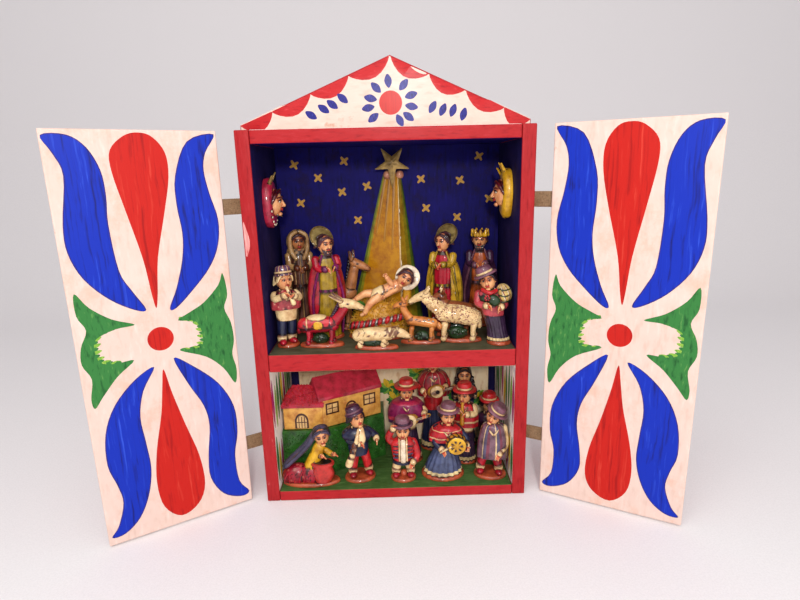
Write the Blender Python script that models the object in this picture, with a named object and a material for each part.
"""A painted Andean retablo: a red wooden case with two niches, a pediment and two doors on leather straps.

The upper niche holds a nativity and the lower one a village feast, all figures modelled in paste.
Metres, +Z up, the case's front towards -Y. The origin is the centre of the case's underside.
"""
import math

import bmesh
import bpy
from mathutils import Euler, Matrix, Vector

MM = 0.001
# Meshes hold 32-bit numbers, so pieces that touch keep this gap.
TOUCH = 0.3 * MM

# The case and its boards.
CASE_WIDTH = 210 * MM
CASE_DEPTH = 85 * MM
CASE_HEIGHT = 289.5 * MM
SIDE_BOARD = 10.2 * MM
TOP_BOARD = 9.5 * MM
BOTTOM_BOARD = 8.6 * MM
SHELF_BOARD = 13.9 * MM
SHELF_TOP = 125.4 * MM
BACK_PANEL = 4 * MM

# The pediment, which stands on the top board behind its front edge.
PEDIMENT_OVERHANG = 0.5 * MM
PEDIMENT_RISE = 49.5 * MM
PEDIMENT_END = 4 * MM
PEDIMENT_THICKNESS = 10 * MM
PEDIMENT_SETBACK = 20.5 * MM
PEDIMENT_APEX_SHIFT = 4 * MM

# The doors, and the line beside the case's front corner that each one turns about.
DOOR_THICKNESS = 4 * MM
DOOR_GAP = 0.5 * MM
DOOR_CLEARANCE = 1 * MM
HINGE_OUT = 6 * MM
HINGE_BACK = 2.8 * MM
LEFT_DOOR_OPEN = 149
RIGHT_DOOR_OPEN = 151

# The leather straps that hang each door.
STRAP_WIDTH = 11.5 * MM
STRAP_THICKNESS = 1.8 * MM
STRAP_ON_SIDE = 16 * MM
STRAP_ON_DOOR = 24 * MM
STRAP_BEND = 7 * MM
UPPER_STRAP_DROP = 52.5 * MM
LOWER_STRAP_Z = 49 * MM

# The star and its ridged beam of light, against the upper niche's back.
BEAM_TOP_DROP = 22.5 * MM
BEAM_TOP_LEFT = -4 * MM
BEAM_TOP_RIDGE = 8.5 * MM
BEAM_TOP_RIGHT = 11 * MM
BEAM_FOOT_LEFT = -38 * MM
BEAM_FOOT_RIDGE = 10.5 * MM
BEAM_FOOT_RIGHT = 29 * MM
BEAM_TOP_DEPTH = 5 * MM
BEAM_FOOT_DEPTH = 13 * MM
KNOB_RADIUS = 3.6 * MM
STAR_X = 3.6 * MM
STAR_RADIUS = 16.9 * MM
STAR_TAIL = 23 * MM
STAR_WAIST = 6 * MM
STAR_THICKNESS = 5 * MM

# The grid that the figures' places are drawn on: steps from the middle to a side wall, from the front
# edge to the back, and from each niche's floor to what is over it.
GRID_ACROSS = 94.8
GRID_DEEP = 81
GRID_UPPER = 154.3
GRID_LOWER = 102.6

# How many sides the paste's lumps have, and the triangles that each body keeps.
SIDES = 14
PERSON_FACES = 355
ANIMAL_FACES = 300

# Worked out from the sizes above.
FRONT = -CASE_DEPTH / 2
BACK = CASE_DEPTH / 2
INNER_X = CASE_WIDTH / 2 - SIDE_BOARD
INNER_BACK = BACK - BACK_PANEL
CEILING = CASE_HEIGHT - TOP_BOARD
SHELF_UNDER = SHELF_TOP - SHELF_BOARD
UPPER_FLOOR = SHELF_TOP + TOUCH
LOWER_FLOOR = BOTTOM_BOARD + TOUCH
BACK_DEPTH = CASE_DEPTH - BACK_PANEL
DOOR_WIDTH = CASE_WIDTH / 2 - DOOR_CLEARANCE
DOOR_HEIGHT = CASE_HEIGHT - DOOR_CLEARANCE
UPPER_STRAP_Z = CASE_HEIGHT - UPPER_STRAP_DROP
BEAM_TOP_Z = CEILING - BEAM_TOP_DROP

# The figures are modelled to fit their niches: one step of paste is the least of the grid's steps.
STEP = min(
    INNER_X / GRID_ACROSS,
    BACK_DEPTH / GRID_DEEP,
    (CEILING - UPPER_FLOOR) / GRID_UPPER,
    (SHELF_UNDER - LOWER_FLOOR) / GRID_LOWER,
)

# A figure's head, the same on every person, the thickness of its base, and how finely paste is pressed.
HEAD = 15.5 * STEP
BASE = 2.6 * STEP
VOXEL = 0.95 * STEP

# The bank and the house in the lower niche's left corner, modelled like the figures.
MOUND_HEIGHT = 40 * STEP
MOUND_SLOPE = 2.4 * STEP
MOUND_FORWARD = 2 * STEP
HOUSE_WALL = 26 * STEP
HOUSE_ROOF = 15 * STEP
HOUSE_DEPTH = 25 * STEP
HOUSE_EAVES = 1.2 * STEP
WING_WALL = 21 * STEP
WING_ROOF = 13 * STEP
WING_DEPTH = 24 * STEP


def clear_scene():
    for item in list(bpy.data.objects):
        bpy.data.objects.remove(item, do_unlink=True)


def material(name, colour, roughness=0.35, metallic=0.0):
    """A painted finish: its colour, roughness and metallic value."""
    finish = bpy.data.materials.get(name) or bpy.data.materials.new(name)
    finish.use_nodes = True
    shader = finish.node_tree.nodes["Principled BSDF"]
    shader.inputs["Base Color"].default_value = (*colour, 1.0)
    shader.inputs["Roughness"].default_value = roughness
    shader.inputs["Metallic"].default_value = metallic
    return finish


def finishes():
    return {
        "red": material("red_case_paint", (0.55, 0.03, 0.04), 0.5),
        "night": material("night_blue_paint", (0.02, 0.02, 0.12), 0.4),
        "white": material("white_gesso", (0.82, 0.76, 0.68), 0.6),
        "leather": material("brown_leather", (0.20, 0.11, 0.07), 0.7),
        "gold": material("gold_paint", (0.50, 0.42, 0.18), 0.35, 0.6),
        "ochre": material("ochre_varnish", (0.60, 0.33, 0.03), 0.25),
        "green": material("green_varnish", (0.05, 0.12, 0.02), 0.35),
        "wall": material("house_plaster", (0.65, 0.42, 0.17), 0.4),
        "crimson": material("crimson_varnish", (0.40, 0.01, 0.03), 0.25),
        "navy": material("navy_varnish", (0.03, 0.04, 0.10), 0.25),
        "purple": material("purple_varnish", (0.10, 0.04, 0.08), 0.25),
        "cream": material("cream_varnish", (0.68, 0.50, 0.24), 0.25),
        "brown": material("brown_varnish", (0.22, 0.09, 0.04), 0.3),
        "orange": material("orange_varnish", (0.55, 0.25, 0.06), 0.25),
    }


def behind_front(depth):
    """The y of a point that lies this far behind the case's front edge."""
    return FRONT + depth


def on_grid(across, deep):
    """The x and y of a place in a niche, counted in the grid's steps from the middle and the front."""
    return INNER_X * across / GRID_ACROSS, behind_front(BACK_DEPTH * deep / GRID_DEEP)


def add_object(name, mesh, finish):
    obj = bpy.data.objects.new(name, mesh)
    obj.data.materials.clear()
    obj.data.materials.append(finish)
    bpy.context.scene.collection.objects.link(obj)
    return obj


def from_bmesh(name, shape, finish):
    bmesh.ops.recalc_face_normals(shape, faces=shape.faces)
    mesh = bpy.data.meshes.new(name)
    shape.to_mesh(mesh)
    shape.free()
    return add_object(name, mesh, finish)


def add_box(name, low, high, finish):
    """A board between two opposite corners, its origin at its centre."""
    low, high = Vector(low), Vector(high)
    shape = bmesh.new()
    bmesh.ops.create_cube(shape, size=1.0)
    bmesh.ops.scale(shape, vec=high - low, verts=shape.verts)
    obj = from_bmesh(name, shape, finish)
    obj.location = (low + high) / 2
    return obj


def add_prism(shape, outline, start, end):
    """Extrudes a flat outline of points from one offset to another."""
    near = [shape.verts.new(Vector(point) + start) for point in outline]
    far = [shape.verts.new(Vector(point) + end) for point in outline]
    shape.faces.new(near)
    shape.faces.new(far[::-1])
    for i in range(len(outline)):
        j = (i + 1) % len(outline)
        shape.faces.new((near[i], far[i], far[j], near[j]))


def unite(obj, others):
    """Joins hidden helper solids to an object with exact Boolean unions."""
    for number, other in enumerate(others):
        union = obj.modifiers.new(f"Union {number}", "BOOLEAN")
        union.operation = "UNION"
        union.object = other
        other.hide_render = True
        other.display_type = "WIRE"


class Clay:
    """Lumps of modelling paste, in a figure's own frame: it faces -Y and stands at z 0."""

    def __init__(self, across, deep, floor, heading=0.0):
        self.shape = bmesh.new()
        self.place = (*on_grid(across, deep), floor)
        self.heading = math.radians(heading)

    def loft(self, rings):
        """A closed lump through rings, each a centre and its two half axes."""
        rows = []
        for centre, across, along in rings:
            row = []
            for i in range(SIDES):
                angle = math.tau * i / SIDES
                point = centre + across * math.cos(angle) + along * math.sin(angle)
                row.append(self.shape.verts.new(point))
            rows.append(row)
        for low, high in zip(rows, rows[1:]):
            for i in range(SIDES):
                j = (i + 1) % SIDES
                self.shape.faces.new((low[i], low[j], high[j], high[i]))
        self.shape.faces.new(rows[0][::-1])
        self.shape.faces.new(rows[-1])

    def ball(self, centre, radii, turn=(0, 0, 0)):
        """An egg of three half axes, turned by three angles in degrees."""
        turned = Euler([math.radians(angle) for angle in turn]).to_matrix()
        rings = []
        for step in range(-3, 4):
            rise = math.radians(step * 27)
            middle = Vector((0, 0, radii[2] * math.sin(rise)))
            across = Vector((radii[0] * math.cos(rise), 0, 0))
            along = Vector((0, radii[1] * math.cos(rise), 0))
            rings.append((Vector(centre) + turned @ middle, turned @ across, turned @ along))
        self.loft(rings)

    def tier(self, stations):
        """Stacked level ovals: height, half width, half depth, and the middle's x and y."""
        rings = []
        for z, half_x, half_y, x, y in stations:
            rings.append((Vector((x, y, z)), Vector((half_x, 0, 0)), Vector((0, half_y, 0))))
        self.loft(rings)

    def limb(self, points, radii, flat=1.0):
        """A round bar along points, with rounded ends; flat thins it across its own side."""
        points = [Vector(point) for point in points]
        rings = []
        for i, (point, radius) in enumerate(zip(points, radii)):
            way = points[min(i + 1, len(points) - 1)] - points[max(i - 1, 0)]
            way.normalize()
            side = way.cross(Vector((0, 0, 1)))
            if side.length < 0.2:
                side = way.cross(Vector((0, 1, 0)))
            side.normalize()
            up = side.cross(way)
            if i == 0:
                rings.append((point - way * radius * 0.8, side * radius * 0.6, up * radius * 0.6 * flat))
            rings.append((point, side * radius, up * radius * flat))
            if i == len(points) - 1:
                rings.append((point + way * radius * 0.8, side * radius * 0.6, up * radius * 0.6 * flat))
        self.loft(rings)

    def disc(self, centre, radius, thickness, facing):
        """A round plate whose axis points along facing."""
        axis = Vector(facing).normalized()
        side = axis.cross(Vector((0, 0, 1))).normalized()
        up = side.cross(axis)
        rings = []
        for share in (-0.5, 0.5):
            rings.append((Vector(centre) + axis * thickness * share, side * radius, up * radius))
        self.loft(rings)

    def base(self, half_x, half_y, x=0.0, y=0.0):
        """The thin oval of paste that a figure is pressed on."""
        self.tier(
            (
                (-BASE, half_x, half_y, x, y),
                (BASE * 0.5, half_x, half_y, x, y),
                (BASE, half_x - BASE * 0.4, half_y - BASE * 0.4, x, y),
            )
        )

    def fire(self, name, triangles, finish, flat=(0, 0, -1)):
        """Presses the lumps into one body, thins it, cuts it flat on one side and puts it in its place."""
        obj = from_bmesh(name, self.shape, finish)
        press = obj.modifiers.new("Press", "REMESH")
        press.mode = "VOXEL"
        press.voxel_size = VOXEL
        thin = obj.modifiers.new("Thin", "DECIMATE")
        pressed = evaluated_mesh(obj, skip=thin)
        thin.ratio = min(1.0, triangles / max(1, count_triangles(pressed)))
        whole = evaluated_mesh(obj)
        obj.modifiers.clear()
        shape = bmesh.new()
        shape.from_mesh(whole)
        cut_flat(shape, Vector(flat))
        keep_largest(shape)
        bmesh.ops.triangulate(shape, faces=shape.faces)
        bmesh.ops.recalc_face_normals(shape, faces=shape.faces)
        shape.to_mesh(obj.data)
        shape.free()
        obj.data.shade_smooth()
        obj.data.set_sharp_from_angle(angle=math.radians(40))
        obj.location = self.place
        obj.rotation_euler = (0, 0, self.heading)
        return obj


def evaluated_mesh(obj, skip=None):
    """The object's mesh with its modifiers, leaving one of them out."""
    if skip:
        skip.show_viewport = False
    graph = bpy.context.evaluated_depsgraph_get()
    graph.update()
    mesh = bpy.data.meshes.new_from_object(obj.evaluated_get(graph))
    if skip:
        skip.show_viewport = True
    return mesh


def count_triangles(mesh):
    return sum(len(face.vertices) - 2 for face in mesh.polygons)


def cut_flat(shape, outward):
    """Cuts a body off at the plane through its own origin that faces outward, and closes the cut."""
    geometry = shape.verts[:] + shape.edges[:] + shape.faces[:]
    bmesh.ops.bisect_plane(
        shape, geom=geometry, dist=1e-6, plane_co=(0, 0, 0), plane_no=outward, clear_outer=True
    )
    rim = [edge for edge in shape.edges if edge.is_boundary]
    if rim:
        bmesh.ops.triangle_fill(shape, edges=rim, use_beauty=True, normal=outward)


def keep_largest(shape):
    """Deletes crumbs: every island of faces but the one with the most."""
    left = set(shape.verts)
    islands = []
    while left:
        stack = [left.pop()]
        island = set(stack)
        while stack:
            for edge in stack.pop().link_edges:
                for vert in edge.verts:
                    if vert in left:
                        left.discard(vert)
                        island.add(vert)
                        stack.append(vert)
        islands.append(island)
    islands.sort(key=len)
    crumbs = [vert for island in islands[:-1] for vert in island]
    bmesh.ops.delete(shape, geom=crumbs, context="VERTS")


def build_case(paint):
    """The boards: two full-height sides, the top, shelf and bottom between them, and the back."""
    half = CASE_WIDTH / 2
    back = INNER_BACK - TOUCH
    for name, sign in (("side_left", -1), ("side_right", 1)):
        xs = sorted((sign * half, sign * INNER_X))
        add_box(name, (xs[0], FRONT, 0), (xs[1], back, CASE_HEIGHT), paint["red"])
    inner = INNER_X - TOUCH
    levels = (
        ("top_board", CEILING, CASE_HEIGHT),
        ("shelf", SHELF_UNDER, SHELF_TOP),
        ("bottom_board", 0, BOTTOM_BOARD),
    )
    for name, low, high in levels:
        add_box(name, (-inner, FRONT, low), (inner, back, high), paint["red"])
    add_box("back_panel", (-half, INNER_BACK, 0), (half, BACK, CASE_HEIGHT), paint["night"])


def build_pediment(paint):
    """The gabled board on the top, with blunt ends and its apex a little off the middle."""
    half = CASE_WIDTH / 2 + PEDIMENT_OVERHANG
    foot = CASE_HEIGHT + TOUCH
    outline = (
        (-half, 0, foot),
        (half, 0, foot),
        (half, 0, foot + PEDIMENT_END),
        (PEDIMENT_APEX_SHIFT, 0, foot + PEDIMENT_RISE),
        (-half, 0, foot + PEDIMENT_END),
    )
    near = behind_front(PEDIMENT_SETBACK)
    shape = bmesh.new()
    add_prism(shape, outline, Vector((0, near, 0)), Vector((0, near + PEDIMENT_THICKNESS, 0)))
    from_bmesh("pediment", shape, paint["white"])


def door_frame(side):
    """The hinge axis and the turn of the door on one side: -1 is the left door, 1 the right."""
    open_angle = LEFT_DOOR_OPEN if side < 0 else RIGHT_DOOR_OPEN
    axis = Vector((side * (CASE_WIDTH / 2 + HINGE_OUT), FRONT + HINGE_BACK, 0))
    return axis, side * math.radians(open_angle)


def build_door(name, side, paint):
    """A flat door board, hung from an empty that stands on its hinge axis."""
    axis, turn = door_frame(side)
    hinge = bpy.data.objects.new(f"{name}_hinge", None)
    bpy.context.scene.collection.objects.link(hinge)
    hinge.location = axis
    hinge.rotation_euler = (0, 0, turn)
    xs = sorted((-side * HINGE_OUT, -side * (HINGE_OUT + DOOR_WIDTH)))
    near = -HINGE_BACK - DOOR_GAP
    foot = CASE_HEIGHT - DOOR_HEIGHT
    low = (xs[0], near - DOOR_THICKNESS, foot)
    high = (xs[1], near, CASE_HEIGHT)
    door = add_box(name, low, high, paint["white"])
    door.parent = hinge


def bezier(points, steps):
    """Points along a cubic through its two ends and two handles."""
    a, b, c, d = points
    line = []
    for step in range(steps + 1):
        t = step / steps
        s = 1 - t
        line.append(a * s**3 + b * 3 * s * s * t + c * 3 * s * t * t + d * t**3)
    return line


def strap_line(side):
    """The middle line of a strap in plan: along the case's side, round a bend and on the door's back."""
    axis, turn = door_frame(side)
    off = TOUCH + STRAP_THICKNESS / 2
    door_turn = Matrix.Rotation(turn, 3, "Z")
    along = door_turn @ Vector((-side, 0, 0))
    outward = door_turn @ Vector((0, -1, 0))
    corner = axis + door_turn @ Vector((-side * HINGE_OUT, -HINGE_BACK - DOOR_GAP - DOOR_THICKNESS, 0))
    edge = corner + outward * off
    case_x = side * (CASE_WIDTH / 2 + off)
    knee = edge + along * ((case_x - edge.x) / along.x)
    backwards = Vector((0, 1, 0))
    leaves_case = knee + backwards * STRAP_BEND
    meets_door = knee + along * STRAP_BEND
    round_bend = bezier((leaves_case, knee, knee, meets_door), 8)
    return [leaves_case + backwards * STRAP_ON_SIDE] + round_bend + [edge, edge + along * STRAP_ON_DOOR]


def build_strap(name, side, height, paint):
    """A leather strip, nailed to the case's side and to the door's back."""
    line = strap_line(side)
    shape = bmesh.new()
    rows = []
    for i, point in enumerate(line):
        way = line[min(i + 1, len(line) - 1)] - line[max(i - 1, 0)]
        across = way.cross(Vector((0, 0, 1))).normalized() * STRAP_THICKNESS / 2
        row = []
        for offset, rise in ((across, -1), (across, 1), (-across, 1), (-across, -1)):
            level = Vector((0, 0, height + rise * STRAP_WIDTH / 2))
            row.append(shape.verts.new(point + offset + level))
        rows.append(row)
    for low, high in zip(rows, rows[1:]):
        for i in range(4):
            j = (i + 1) % 4
            shape.faces.new((low[i], low[j], high[j], high[i]))
    shape.faces.new(rows[0][::-1])
    shape.faces.new(rows[-1])
    from_bmesh(name, shape, paint["leather"])


def build_beam(paint):
    """The ridged beam of light: a tapered three-sided bar against the back, with two knobs at its top."""
    wall = INNER_BACK - TOUCH
    shape = bmesh.new()
    foot = (
        (BEAM_FOOT_LEFT, wall, UPPER_FLOOR),
        (BEAM_FOOT_RIDGE, wall - BEAM_FOOT_DEPTH, UPPER_FLOOR),
        (BEAM_FOOT_RIGHT, wall, UPPER_FLOOR),
    )
    head = (
        (BEAM_TOP_LEFT, wall, BEAM_TOP_Z),
        (BEAM_TOP_RIDGE, wall - BEAM_TOP_DEPTH, BEAM_TOP_Z),
        (BEAM_TOP_RIGHT, wall, BEAM_TOP_Z),
    )
    low = [shape.verts.new(point) for point in foot]
    high = [shape.verts.new(point) for point in head]
    shape.faces.new(low)
    shape.faces.new(high[::-1])
    for i in range(3):
        j = (i + 1) % 3
        shape.faces.new((low[i], high[i], high[j], low[j]))
    beam = from_bmesh("light_beam", shape, paint["ochre"])
    knobs = []
    for x in (BEAM_TOP_LEFT + KNOB_RADIUS, BEAM_TOP_RIGHT - KNOB_RADIUS * 0.3):
        knob = bmesh.new()
        bmesh.ops.create_icosphere(knob, subdivisions=1, radius=KNOB_RADIUS)
        centre = Vector((x, wall - KNOB_RADIUS, BEAM_TOP_Z - KNOB_RADIUS * 0.3))
        bmesh.ops.translate(knob, vec=centre, verts=knob.verts)
        knobs.append(from_bmesh("knob_form", knob, paint["ochre"]))
    unite(beam, knobs)


def build_star(paint):
    """A five-armed star with ridged arms, its longest one down over the beam, its top under the ceiling."""
    shape = bmesh.new()
    front = shape.verts.new((0, -STAR_THICKNESS / 2, 0))
    back = shape.verts.new((0, STAR_THICKNESS / 2, 0))
    rim = []
    for i in range(10):
        angle = math.radians(-90 + 36 * i)
        arm = STAR_TAIL if i == 0 else STAR_RADIUS
        reach = STAR_WAIST if i % 2 else arm
        rim.append(shape.verts.new((reach * math.cos(angle), 0, reach * math.sin(angle))))
    for i in range(10):
        j = (i + 1) % 10
        shape.faces.new((front, rim[i], rim[j]))
        shape.faces.new((back, rim[j], rim[i]))
    star = from_bmesh("star", shape, paint["gold"])
    before_knobs = INNER_BACK - 2 * KNOB_RADIUS - STAR_THICKNESS / 2 - 3 * TOUCH
    star.location = (STAR_X, before_knobs, CEILING - 2 * TOUCH - STAR_RADIUS * math.sin(math.radians(54)))


def build_wall_face(name, side, deep, height, rays, paint, colour):
    """A sun or moon mask on the niche's side wall: a rim, a face in relief and a few rays."""
    clay = Clay(side * GRID_ACROSS, deep, height, 90 * -side)
    half_high = 19 * STEP
    half_wide = 12 * STEP
    thick = 5 * STEP
    centre = Vector((0, 0, 0))
    clay.loft(
        (
            (centre + Vector((0, thick * 0.4, 0)), Vector((half_wide, 0, 0)), Vector((0, 0, half_high))),
            (centre + Vector((0, -thick, 0)), Vector((half_wide, 0, 0)), Vector((0, 0, half_high))),
            (
                centre + Vector((0, -thick * 1.5, 0)),
                Vector((half_wide * 0.7, 0, 0)),
                Vector((0, 0, half_high * 0.8)),
            ),
        )
    )
    clay.ball(centre + Vector((0, -thick * 1.2, 0)), (8 * STEP, 6 * STEP, 13 * STEP))
    clay.limb(
        (centre + Vector((0, -thick * 2.1, 2 * STEP)), centre + Vector((0, -thick * 2.5, -2 * STEP))),
        (1.4 * STEP, 1.9 * STEP),
    )
    for angle in rays:
        turn = math.radians(angle)
        tip = centre + Vector((math.sin(turn) * 19 * STEP, -thick * 1.6, math.cos(turn) * 23 * STEP))
        root = centre + Vector((math.sin(turn) * 9 * STEP, -thick * 0.6, math.cos(turn) * 14 * STEP))
        clay.limb((root, tip), (2.4 * STEP, 1.1 * STEP))
    obj = clay.fire(name, 260, paint[colour], (0, 1, 0))
    obj.location.x -= side * TOUCH


def house_line():
    """The two ends of the long block's front wall."""
    return Vector(on_grid(-62, 27.5)), Vector(on_grid(-12, 55))


def build_mound(paint):
    """The green bank under the house, steep in front and cut square against the side and back."""
    left = -INNER_X + TOUCH
    wall = INNER_BACK - TOUCH
    corner, end = house_line()
    near = corner.y - MOUND_FORWARD
    top_z = LOWER_FLOOR + MOUND_HEIGHT
    crest = (
        (left, near),
        (corner.x + MOUND_FORWARD, near),
        (end.x + MOUND_FORWARD, end.y),
        (end.x + MOUND_FORWARD, wall),
        (left, wall),
    )
    slope = (
        Vector((0, -MOUND_SLOPE)),
        Vector((MOUND_SLOPE * 0.5, -MOUND_SLOPE)),
        Vector((MOUND_SLOPE * 0.5, -MOUND_SLOPE)),
        Vector((MOUND_SLOPE * 0.5, 0)),
        Vector((0, 0)),
    )
    shape = bmesh.new()
    top = [shape.verts.new((x, y, top_z)) for x, y in crest]
    foot = []
    for (x, y), step in zip(crest, slope):
        foot.append(shape.verts.new((x + step.x, y + step.y, LOWER_FLOOR)))
    shape.faces.new(top)
    shape.faces.new(foot[::-1])
    for i in range(len(top)):
        j = (i + 1) % len(top)
        shape.faces.new((foot[i], foot[j], top[j], top[i]))
    from_bmesh("green_bank", shape, paint["green"])


def add_block(name, corner, along, across, height, finish, base_z, roof=0.0, eaves=0.0, hip=0.0):
    """A house block on a ground corner; with a roof height it is a gabled or hipped roof instead."""
    along, across = Vector((*along, 0)), Vector((*across, 0))
    u, v = along.normalized(), across.normalized()
    start = Vector((*corner, base_z)) - u * eaves - v * eaves
    along = along + u * 2 * eaves
    across = across + v * 2 * eaves
    shape = bmesh.new()
    ground = [start, start + along, start + along + across, start + across]
    low = [shape.verts.new(point) for point in ground]
    lift = Vector((0, 0, height))
    high = [shape.verts.new(point + lift) for point in ground]
    shape.faces.new(low[::-1])
    for i in range(4):
        j = (i + 1) % 4
        shape.faces.new((low[i], low[j], high[j], high[i]))
    if roof:
        ridge = lift + across / 2 + Vector((0, 0, roof))
        first = shape.verts.new(start + ridge + u * hip)
        last = shape.verts.new(start + ridge + along - u * hip)
        shape.faces.new((high[0], high[1], last, first))
        shape.faces.new((high[2], high[3], first, last))
        shape.faces.new((high[1], high[2], last))
        shape.faces.new((high[3], high[0], first))
    else:
        shape.faces.new(high)
    return from_bmesh(name, shape, finish)


def build_house(paint):
    """A long block set askew and a lower wing at its left end, each with its roof."""
    base_z = LOWER_FLOOR + MOUND_HEIGHT + TOUCH
    corner, end = house_line()
    along = end - corner
    across = Vector((-along.y, along.x)).normalized() * HOUSE_DEPTH
    sunk = 2 * STEP
    left = -INNER_X + 2 * TOUCH + HOUSE_EAVES
    wing_corner = Vector((left, corner.y))
    wing_along = Vector((corner.x - left + sunk, 0))
    wing_across = Vector((0, WING_DEPTH))
    house = add_block("house", corner, along, across, HOUSE_WALL, paint["wall"], base_z)
    roof_depth = 3 * STEP
    parts = [
        add_block(
            "house_roof_form", corner, along, across, roof_depth, paint["crimson"],
            base_z + HOUSE_WALL - roof_depth / 2, HOUSE_ROOF, HOUSE_EAVES,
        ),
        add_block("wing_form", wing_corner, wing_along, wing_across, WING_WALL, paint["wall"], base_z),
        add_block(
            "wing_roof_form", wing_corner, wing_along, wing_across, roof_depth, paint["crimson"],
            base_z + WING_WALL - roof_depth / 2, WING_ROOF, HOUSE_EAVES, WING_DEPTH * 0.35,
        ),
    ]
    unite(house, parts)


def hand_and_arm(clay, shoulder, hand, sleeve, outward):
    """An arm bent at an elbow that points down and out, with a hand at its end."""
    shoulder, hand = Vector(shoulder), Vector(hand)
    elbow = (shoulder + hand) / 2 + Vector((outward, 0.1 * HEAD, -0.18 * HEAD))
    clay.limb((shoulder, elbow, hand), (sleeve, sleeve * 0.95, sleeve * 0.75))
    clay.ball(hand, (0.18 * HEAD, 0.18 * HEAD, 0.18 * HEAD))


def add_head(clay, centre, turn, hair):
    """A plain egg of a head with a nose, ears covered by hair, and the hair's own mass."""
    centre = Vector(centre)
    turned = Euler([math.radians(angle) for angle in turn]).to_matrix()
    clay.ball(centre, (0.38 * HEAD, 0.40 * HEAD, 0.50 * HEAD), turn)
    nose = centre + turned @ Vector((0, -0.40 * HEAD, -0.02 * HEAD))
    clay.ball(nose, (0.07 * HEAD, 0.10 * HEAD, 0.13 * HEAD), turn)
    back = centre + turned @ Vector((0, 0.10 * HEAD, 0.06 * HEAD))
    clay.ball(back, (0.44 * HEAD * hair, 0.42 * HEAD * hair, 0.50 * HEAD), turn)


def add_hat(clay, centre, turn, brim, crown, tilt=0.0):
    """A round hat: brim and crown as stacked discs on the head's top, tipped with it."""
    turned = Euler((math.radians(turn[0]), math.radians(turn[1] + tilt), math.radians(turn[2]))).to_matrix()
    top = Vector(centre) + turned @ Vector((0, 0.02 * HEAD, 0.30 * HEAD))
    rings = []
    levels = ((0.0, brim), (0.09, brim * 0.97), (0.12, crown), (0.40, crown * 0.9), (0.48, crown * 0.55))
    for rise, reach in levels:
        middle = top + turned @ Vector((0, 0, rise * HEAD))
        rings.append((middle, turned @ Vector((reach, 0, 0)), turned @ Vector((0, reach, 0))))
    clay.loft(rings)


def add_legs(clay, hip, feet, thigh):
    """Two trouser legs and shoes, from the hips to the base."""
    for sign, foot in zip((-1, 1), feet):
        start = (sign * thigh * 0.9, 0, hip)
        foot = Vector((foot[0], foot[1], BASE))
        clay.limb((start, foot + Vector((0, 0, thigh * 1.2))), (thigh, thigh * 0.8))
        clay.ball(foot + Vector((0, -thigh * 0.5, thigh * 0.4)), (thigh * 0.75, thigh * 1.3, thigh * 0.7))


def villager(
    name, across, deep, floor, height, finish, heading=0, lean=(0, 0), turn=(0, 0, 0),
    skirt=0.0, feet=((-4.5, 0), (4.5, 0)), poncho=None, hands=None, brim=0.0, tilt=0.0,
    base=(11, 9), chest=0.62, held=(), hair=1.0, faces=PERSON_FACES,
):
    """One villager. Reaches are shares of the head; places, feet and base are in steps."""
    clay = Clay(across, deep, floor, heading)
    clay.base(base[0] * STEP, base[1] * STEP)
    tip = Vector((lean[0], lean[1], 0))
    chin = height - HEAD
    neck = tip * (chin / height) + Vector((0, 0, chin))
    hip_z = BASE + (chin - BASE) * 0.50
    hip = tip * (hip_z / height) + Vector((0, 0, hip_z))
    wide, deep = chest * HEAD, chest * 0.72 * HEAD
    if skirt:
        clay.tier(
            (
                (BASE * 0.6, skirt, skirt * 0.8, 0, 0),
                (BASE + (hip_z - BASE) * 0.4, skirt * 0.82, skirt * 0.68, hip.x * 0.4, hip.y * 0.4),
                (hip_z, wide * 0.85, deep, hip.x, hip.y),
            )
        )
    else:
        add_legs(clay, hip_z, [(fx * STEP, fy * STEP) for fx, fy in feet], 0.27 * HEAD)
    clay.tier(
        (
            (hip_z - 0.15 * HEAD, wide * 0.82, deep * 0.9, hip.x, hip.y),
            (hip_z + (chin - hip_z) * 0.55, wide * 0.98, deep, (hip.x + neck.x) / 2, (hip.y + neck.y) / 2),
            (chin - 0.18 * HEAD, wide, deep * 0.9, neck.x, neck.y),
            (chin + 0.05 * HEAD, wide * 0.42, deep * 0.45, neck.x, neck.y),
        )
    )
    if poncho:
        drop, reach, bottom = poncho
        low = chin - drop * HEAD
        clay.tier(
            (
                (low, bottom * HEAD, bottom * 0.62 * HEAD, (hip.x + neck.x) / 2, hip.y),
                ((low + chin) / 2, reach * HEAD, reach * 0.68 * HEAD, neck.x, neck.y),
                (chin - 0.12 * HEAD, reach * 0.72 * HEAD, reach * 0.6 * HEAD, neck.x, neck.y),
                (chin + 0.05 * HEAD, 0.26 * HEAD, 0.26 * HEAD, neck.x, neck.y),
            )
        )
    head = neck + Vector((tip.x * 0.12, -0.04 * HEAD, 0.46 * HEAD))
    add_head(clay, head, turn, hair)
    if brim:
        add_hat(clay, head, turn, brim * HEAD, 0.40 * HEAD, tilt)
    for sign, hand in zip((-1, 1), hands or ()):
        if hand:
            shoulder = neck + Vector((sign * wide * 0.85, 0, -0.24 * HEAD))
            reach = neck + Vector(hand) * HEAD
            hand_and_arm(clay, shoulder, reach, 0.23 * HEAD, sign * 0.24 * HEAD)
    for kind, *values in held:
        if kind == "bar":
            points, radii = values
            clay.limb([neck + Vector(point) * HEAD for point in points], [r * HEAD for r in radii])
        elif kind == "egg":
            centre, radii, angles = values
            clay.ball(neck + Vector(centre) * HEAD, [r * HEAD for r in radii], angles)
    return clay.fire(name, faces, finish)


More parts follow.
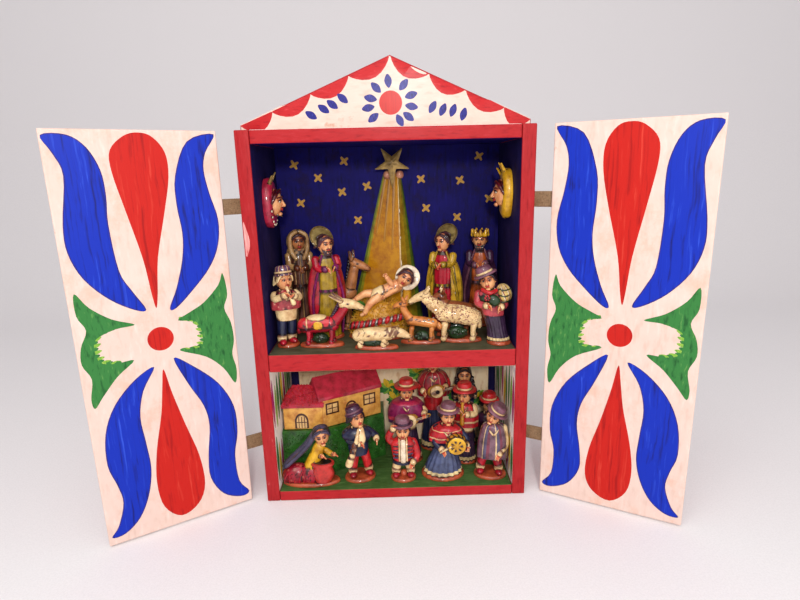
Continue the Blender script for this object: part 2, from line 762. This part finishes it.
def saint(name, across, deep, height, heading, turn, finish, hands, crown, flare=1.04):
    """A tall robed figure with a mantle from its shoulders, and a halo, a crown or a hood."""
    clay = Clay(across, deep, UPPER_FLOOR, heading)
    chin = height - HEAD
    clay.base(0.80 * HEAD, 0.56 * HEAD)
    clay.tier(
        (
            (BASE * 0.5, 0.66 * HEAD, 0.5 * HEAD, 0, 0),
            (chin * 0.5, 0.52 * HEAD, 0.42 * HEAD, 0, -0.04 * HEAD),
            (chin * 0.88, 0.50 * HEAD, 0.38 * HEAD, 0, 0),
            (chin, 0.22 * HEAD, 0.24 * HEAD, 0, 0),
        )
    )
    clay.tier(
        (
            (BASE, 0.80 * HEAD, 0.38 * HEAD, 0, 0.18 * HEAD),
            (chin * 0.45, flare * HEAD, 0.40 * HEAD, 0, 0.16 * HEAD),
            (chin * 0.80, 0.84 * HEAD, 0.38 * HEAD, 0, 0.12 * HEAD),
            (chin * 0.97, 0.34 * HEAD, 0.30 * HEAD, 0, 0.05 * HEAD),
        )
    )
    head = Vector((0, -0.05 * HEAD, chin + 0.46 * HEAD))
    turned = Euler([math.radians(angle) for angle in turn]).to_matrix()
    add_head(clay, head, turn, 1.0)
    if crown == "halo":
        facing = turned @ Vector((0, -0.80, 0.60))
        clay.disc(head + turned @ Vector((0, 0.34, 0.34)) * HEAD, 0.60 * HEAD, 2.2 * STEP, facing)
    elif crown == "crown":
        add_hat(clay, head, turn, 0.40 * HEAD, 0.42 * HEAD)
    else:
        clay.ball(head + Vector((0, 0.18, -0.05)) * HEAD, (0.66 * HEAD, 0.50 * HEAD, 0.74 * HEAD))
        clay.tier(
            (
                (chin * 0.78, 0.86 * HEAD, 0.44 * HEAD, 0, 0.1 * HEAD),
                (chin + 0.1 * HEAD, 0.66 * HEAD, 0.45 * HEAD, 0, 0.15 * HEAD),
            )
        )
    for sign, hand in zip((-1, 1), hands):
        shoulder = Vector((sign * 0.55 * HEAD, 0, chin - 0.3 * HEAD))
        reach = Vector((0, 0, chin)) + Vector(hand) * HEAD
        hand_and_arm(clay, shoulder, reach, 0.22 * HEAD, sign * 0.16 * HEAD)
    return clay.fire(name, PERSON_FACES, finish)


def beast(
    name, across, deep, heading, legs, trunk, neck, head, ears, finish,
    stance, base, rocks=(), extras=(), leg_radius=1.9,
):
    """An animal that looks along its own +X. Places and lengths are in steps.

    legs gives each pair's x and the height it starts at; trunk, neck, head and ears are chains
    of (x, y, z, radius).
    """
    clay = Clay(across, deep, UPPER_FLOOR, heading)
    clay.base(base[0] * STEP, base[1] * STEP, base[2] * STEP)
    for chain in (trunk, neck, head, *ears):
        clay.limb([Vector(link[:3]) * STEP for link in chain], [link[3] * STEP for link in chain])
    for foot_x, hip_z in legs:
        for side in (-1, 1):
            top = Vector((foot_x, side * stance * 0.6, hip_z)) * STEP
            foot = Vector((foot_x + side * 0.8, side * stance, 0)) * STEP + Vector((0, 0, BASE))
            clay.limb((top, foot), (leg_radius * 1.25 * STEP, leg_radius * STEP))
    for centre, radii in rocks:
        clay.ball(Vector(centre) * STEP, [radius * STEP for radius in radii])
    for centre, radii, angles in extras:
        clay.ball(Vector(centre) * STEP, [radius * STEP for radius in radii], angles)
    return clay.fire(name, ANIMAL_FACES, finish)


def build_saints(paint):
    saint(
        "father", -52, 42, 86 * STEP, 22, (0, 0, 14), paint["crimson"],
        ((-0.15, -0.62, -0.75), (0.30, -0.60, -0.70)), "halo",
    )
    saint(
        "mother", 44.5, 57, 84 * STEP, -22, (0, 0, -18), paint["crimson"],
        ((-0.22, -0.60, -0.75), (0.12, -0.62, -0.70)), "halo",
    )
    saint(
        "king", 77, 68, 83.5 * STEP, -8, (0, 0, -6), paint["orange"],
        ((-0.20, -0.58, -0.90), (0.25, -0.60, -0.80)), "crown", 1.02,
    )
    saint(
        "veiled_woman", -77.5, 65, 86 * STEP, 14, (0, 0, 6), paint["cream"],
        ((-0.10, -0.52, -0.95), (0.22, -0.52, -0.95)), "hood", 0.94,
    )


def build_shepherds(paint):
    villager(
        "piper", -83, 23.5, UPPER_FLOOR, 61 * STEP, paint["crimson"], heading=24,
        turn=(-8, 0, 12), feet=((-5, -1), (3.5, 1)), poncho=(0.95, 0.74, 0.74), base=(9, 8), brim=0.46,
        hands=((-0.10, -0.66, -0.15), (0.28, -0.66, -0.22)),
        held=(("bar", ((0.0, -0.52, 0.18), (0.22, -0.80, -0.55)), (0.09, 0.12)),),
    )
    villager(
        "bundle_woman", 84.5, 16, UPPER_FLOOR, 58.5 * STEP, paint["purple"], heading=-6,
        lean=(-11 * STEP, 0), turn=(0, -10, -12), skirt=9 * STEP, poncho=(0.75, 0.64, 0.60), base=(9.4, 9),
        brim=0.60, tilt=-14, hands=((-0.10, -0.60, -0.72), (0.52, -0.55, -0.82)),
        held=(("egg", (0.72, -0.10, -0.18), (0.40, 0.34, 0.52), (0, -18, 0)),
              ("egg", (0.20, -0.48, -0.46), (0.34, 0.22, 0.30), (0, 30, 0))),
    )


def build_villagers(paint):
    villager(
        "horn_player", -30, 18.5, LOWER_FLOOR, 62 * STEP, paint["navy"], heading=12,
        lean=(-1.5 * STEP, 0), turn=(-16, 0, 22), feet=((-6, 0), (7.5, 1)), poncho=(0.85, 0.84, 0.60),
        base=(13, 10.5), brim=0.52, tilt=-12, hands=((0.05, -0.60, -0.75), (0.98, -0.30, -0.75)),
        held=(
            ("bar", ((0.0, -0.55, -0.1), (-0.30, -0.75, -0.95), (-0.60, -0.80, -1.75)), (0.10, 0.13, 0.2)),
        ),
    )
    villager(
        "saluting_man", 6.5, 15.5, LOWER_FLOOR, 52 * STEP, paint["crimson"], turn=(0, 0, 0),
        feet=((-6, 0), (6, 0)), base=(10.5, 9), brim=0.56, chest=0.66,
        hands=((-0.46, -0.30, 0.75), (0.48, -0.36, -1.35)),
    )
    villager(
        "drum_woman", 40, 21, LOWER_FLOOR, 61 * STEP, paint["navy"], turn=(0, 4, 8),
        lean=(5 * STEP, 0), skirt=16.5 * STEP, poncho=(0.90, 0.92, 0.94), base=(18, 14.5), brim=0.62,
        hands=((-0.30, -0.72, -1.25), (0.98, -0.66, -1.05)),
        held=(("egg", (0.42, -0.76, -0.85), (0.58, 0.26, 0.54), (0, 12, 0)),),
    )
    villager(
        "poncho_man", 79.5, 17, LOWER_FLOOR, 62 * STEP, paint["purple"], heading=-8,
        lean=(3 * STEP, 0), turn=(0, 24, -20), feet=((-8, 0), (7, -1)), poncho=(1.90, 0.80, 0.84),
        base=(13.5, 10.5), brim=0.60, tilt=8, hands=(None, (0.30, -0.46, -1.6)),
    )
    villager(
        "mandolin_woman", 11, 46, LOWER_FLOOR, 73 * STEP, paint["purple"], turn=(0, 0, 4),
        skirt=13 * STEP, poncho=(1.30, 1.08, 1.06), base=(13.5, 11), brim=0.70,
        hands=((-0.20, -0.72, -0.95), (0.95, -0.62, -0.72)),
        held=(("egg", (0.15, -0.72, -1.0), (0.52, 0.24, 0.38), (0, -10, 0)),
              ("bar", ((0.4, -0.72, -0.92), (1.15, -0.62, -0.66)), (0.15, 0.13))),
    )
    villager(
        "lute_player", 36, 67, LOWER_FLOOR, 90 * STEP, paint["crimson"],
        turn=(0, 0, -10), skirt=12 * STEP, poncho=(1.45, 0.98, 0.94), base=(12.5, 10), brim=0.60,
        hands=((-0.60, -0.66, -1.05), (0.62, -0.62, -0.82)),
        held=(("egg", (0.10, -0.70, -1.0), (0.56, 0.22, 0.42), (0, -14, 0)),
              ("bar", ((0.4, -0.70, -0.90), (1.05, -0.60, -0.70)), (0.15, 0.12))),
    )
    villager(
        "plaited_woman", 64.5, 69.5, LOWER_FLOOR, 77 * STEP, paint["navy"],
        turn=(0, 0, -4), skirt=11.5 * STEP, poncho=(1.0, 0.76, 0.74), base=(12, 9.5), hair=1.05,
        held=(("bar", ((-0.42, -0.1, 0.3), (-0.58, -0.42, -0.75)), (0.16, 0.13)),
              ("bar", ((0.42, -0.1, 0.3), (0.58, -0.42, -0.75)), (0.16, 0.13))),
    )
    villager(
        "red_hat_piper", 61, 41.5, LOWER_FLOOR, 70 * STEP, paint["crimson"], heading=-20,
        turn=(0, 0, -8), skirt=11 * STEP, poncho=(1.35, 0.78, 0.76), base=(12, 9), brim=0.66,
        hands=((-0.12, -0.60, -0.30), (0.22, -0.64, -0.45)),
        held=(("bar", ((0.0, -0.52, 0.10), (0.04, -0.72, -0.95)), (0.09, 0.12)),),
    )
    villager(
        "feast_goer", 84.5, 53, LOWER_FLOOR, 55 * STEP, paint["purple"],
        skirt=9 * STEP, poncho=(1.0, 0.60, 0.58), base=(9.8, 9), brim=0.58,
    )


def build_seated_woman(paint):
    """She sits on the ground with her skirt spread to one side, over a round pot."""
    clay = Clay(-69.5, 13, LOWER_FLOOR)
    clay.base(23.5 * STEP, 9.5 * STEP, -0.5 * STEP, 0)
    clay.ball((-13 * STEP, 1 * STEP, 6.5 * STEP), (12 * STEP, 8 * STEP, 10 * STEP), (0, -8, 0))
    clay.ball((0, 1 * STEP, 7 * STEP), (14 * STEP, 8.5 * STEP, 10 * STEP))
    clay.limb(((-1 * STEP, 2 * STEP, 12 * STEP), (7 * STEP, 1 * STEP, 31 * STEP)), (7.5 * STEP, 5.4 * STEP))
    head = Vector((9.5 * STEP, 0, 41.5 * STEP))
    add_head(clay, head, (12, -10, 22), 1.06)
    plait = [Vector(point) * STEP for point in ((3, 4, 41), (-5, 2, 31), (-20, -1.5, 18))]
    clay.limb(plait, (4.6 * STEP, 4.2 * STEP, 4 * STEP))
    arms = (((2.5, 0, 28), (10, -5.5, 26), -1), ((12, 1, 28), (19.5, -2, 25.5), 1.5))
    for shoulder, hand, outward in arms:
        hand_and_arm(clay, Vector(shoulder) * STEP, Vector(hand) * STEP, 2.5 * STEP, outward * STEP)
    clay.tier(
        (
            (BASE, 6.5 * STEP, 5.5 * STEP, 9.5 * STEP, -3.6 * STEP),
            (9 * STEP, 9.6 * STEP, 6 * STEP, 9.5 * STEP, -3.2 * STEP),
            (15 * STEP, 8.2 * STEP, 5.8 * STEP, 9.5 * STEP, -3.2 * STEP),
            (17.5 * STEP, 9.8 * STEP, 6 * STEP, 9.5 * STEP, -3.0 * STEP),
            (19.5 * STEP, 9.6 * STEP, 6 * STEP, 9.5 * STEP, -3.0 * STEP),
        )
    )
    clay.fire("seated_woman", PERSON_FACES + 60, paint["crimson"])


def build_infant(paint):
    """The infant on its straw, with the bolster in front: one modelled group."""
    clay = Clay(-11, 43, UPPER_FLOOR)
    clay.base(25 * STEP, 15.5 * STEP)
    clay.tier(
        (
            (BASE, 22 * STEP, 14 * STEP, 0, 0),
            (12 * STEP, 21 * STEP, 13 * STEP, 0, 0.5 * STEP),
            (22 * STEP, 17 * STEP, 10 * STEP, 1.5 * STEP, 1.5 * STEP),
            (29 * STEP, 12 * STEP, 6 * STEP, 4 * STEP, 2.5 * STEP),
        )
    )
    bars = (
        (((-22, -10, 12), (-4, -13, 14.5), (20, -10, 18.5)), (3.2, 3.8, 3.6)),
        (((0, 0, 35), (16, 1, 42)), (5.6, 5.6)),
        (((0, 1, 35), (-10, 0, 36), (-18, 0, 31.5)), (4, 3.2, 2.2)),
        (((1, -3, 34), (-6, -6, 29), (-11, -8, 21.5)), (4, 3, 2.1)),
        (((13, -2, 42), (8, -4, 50)), (2.4, 1.9)),
        (((15, -4, 40), (7, -8, 36)), (2.4, 1.9)),
        (((16, 1, 42), (23, -2, 48.5)), (3.4, 3.2)),
        (((24, 2, 28), (25, 1, 44.5)), (4.2, 3)),
    )
    for points, radii in bars:
        clay.limb([Vector(point) * STEP for point in points], [radius * STEP for radius in radii])
    head = Vector((23 * STEP, -2 * STEP, 48.5 * STEP))
    clay.disc(head + Vector((2 * STEP, 3 * STEP, 0)), 10.4 * STEP, 2.2 * STEP, (-0.25, -0.9, 0.3))
    add_head(clay, head, (0, 38, 0), 1.0)
    clay.fire("infant_on_straw", PERSON_FACES + 200, paint["cream"])


def build_beasts(paint):
    beast(
        "saddled_llama", -53.5, 20, 0, ((-12, 13), (6, 13)),
        ((-15, 0, 16.5, 5.4), (-4, 0, 16.5, 5.6), (7, 0, 17, 5.4)),
        ((7, 0, 18, 5), (13, 0, 25, 4), (17, 0, 31, 3.6)),
        ((16, 0, 34, 4.3), (24, 0, 33, 3.5), (30.5, 0, 30, 2.3)),
        (((15, -2.4, 36, 1.8), (6.5, -3.2, 41, 1.1)), ((15, 2.4, 36, 1.8), (7.5, 3.2, 41.5, 1.1))),
        paint["crimson"], stance=3.6, base=(17.5, 7, -2),
        rocks=(((-3, 0, 6), (7, 4, 5)),),
        extras=(((-5, 0, 22.5), (9, 5.8, 3.4), (0, 0, 0)), ((-19, 0, 15), (2, 2, 5), (0, 15, 0))),
    )
    beast(
        "lamb", -12, 9.5, -4, ((-12, 7), (6, 7)),
        ((-14, 0, 10.5, 5), (-3, 0, 11.5, 5.4), (9, 0, 11.5, 5)),
        ((9, 0, 12, 4.6), (15, 0, 13.5, 4.2)),
        ((14, 0, 13.5, 4.2), (20, 0, 12, 3.4), (24.5, 0, 9.5, 2.2)),
        (((14, -3.2, 15.5, 1.6), (11, -4.4, 11, 1.3)), ((14, 3.2, 15.5, 1.6), (11, 4.0, 11.5, 1.3))),
        paint["cream"], stance=2.6, base=(17, 5.6, 0),
        rocks=(((-3, 0, 4.5), (9, 3, 4)),), leg_radius=2.2,
    )
    beast(
        "fawn", 22, 20.5, 174, ((-10, 12), (6, 12)),
        ((-11, 0, 16, 3.9), (-2, 0, 17.5, 4), (7, 0, 18.5, 4)),
        ((7, 0, 19, 3.8), (11, 0, 25, 3), (13, 0, 30, 2.7)),
        ((12, 0, 32, 3.1), (17, 0, 31, 2.3), (19.5, 0, 29.5, 1.6)),
        (((11.5, -1.8, 33.5, 1.4), (9.5, -3.4, 37.5, 0.9)), ((11.5, 1.8, 33.5, 1.4), (13, 3.2, 37.5, 0.9))),
        paint["orange"], stance=2.4, base=(16, 5, -1),
        rocks=(((-2, 0, 5.5), (6.5, 3.4, 5)),), leg_radius=1.7,
        extras=(((-15.5, 0, 14), (2.4, 1.9, 3.4), (0, 30, 0)),),
    )
    beast(
        "alpaca", 47.5, 23.5, 176, ((-18, 14), (5, 14)),
        ((-17, 0, 19.5, 7), (-6, 0, 22, 7.2), (6, 0, 23, 6.8)),
        ((7, 0, 25, 6), (15, 0, 31, 4.8), (20, 0, 35.5, 4)),
        ((20, 0, 38, 4.1), (27, 0, 35.5, 3), (32, 0, 32.5, 2.1)),
        (((20, -2.6, 40, 1.6), (17.5, -3.6, 43.5, 1.1)), ((20, 2.6, 40, 1.6), (17.5, 3.6, 43.5, 1.1))),
        paint["cream"], stance=4.0, base=(16.5, 6, -8),
        rocks=(((-5, 0, 6.5), (8, 4, 6)),), leg_radius=2.3,
        extras=(((-22, 0, 15), (2.4, 2.4, 5), (0, 12, 0)),),
    )
    beast(
        "ox", 53, 38, 178, ((-9, 10), (7, 10)),
        ((-11, 0, 20, 7), (-1, 0, 22, 7), (8, 0, 23.5, 6.6)),
        ((8, 0, 24.5, 5.8), (13, 0, 29.5, 4.8)),
        ((12, 0, 33, 4.8), (16.5, 0, 31, 3.8), (20, 0, 27.5, 2.8)),
        (((11, -3.4, 36, 1.5), (10, -5.4, 39, 1)), ((11, 3.4, 36, 1.5), (10, 5.4, 39, 1))),
        paint["brown"], stance=3.8, base=(17, 6.4, -1),
        rocks=(((-1, 0, 7), (12, 5, 7)),), leg_radius=2.6,
    )
    beast(
        "donkey", -38, 67, 0, ((-15, 22), (0, 22)),
        ((-15, 0, 30, 6.8), (-6, 0, 31, 7), (2, 0, 32, 6.4)),
        ((2, 0, 34, 5.4), (5, 0, 46, 4.4), (7, 0, 54, 4)),
        ((7, 0, 58, 4.4), (13.5, 0, 55.5, 3.6), (18.5, 0, 52.5, 2.7)),
        (((5, -2.4, 61, 1.7), (3.5, -3.2, 68, 1.1)), ((6, 2.4, 61, 1.7), (6, 3.2, 68, 1.1))),
        paint["brown"], stance=4.0, base=(15, 6.6, -7), rocks=(((-7, 0, 12), (9, 4, 12)),),
        leg_radius=2.5,
    )


def main():
    clear_scene()
    paint = finishes()
    build_case(paint)
    build_pediment(paint)
    build_door("door_left", -1, paint)
    build_door("door_right", 1, paint)
    build_strap("strap_upper_left", -1, UPPER_STRAP_Z, paint)
    build_strap("strap_lower_left", -1, LOWER_STRAP_Z, paint)
    build_strap("strap_upper_right", 1, UPPER_STRAP_Z, paint)
    build_strap("strap_lower_right", 1, LOWER_STRAP_Z, paint)
    build_beam(paint)
    build_star(paint)
    build_wall_face("sun_mask", -1, 34, CEILING - 42.3 * STEP, (10, 65, 120, -30), paint, "crimson")
    build_wall_face("moon_mask", 1, 35, CEILING - 39.3 * STEP, (-35, -10, 15), paint, "ochre")
    build_mound(paint)
    build_house(paint)
    build_saints(paint)
    build_shepherds(paint)
    build_infant(paint)
    build_beasts(paint)
    build_villagers(paint)
    build_seated_woman(paint)


main()
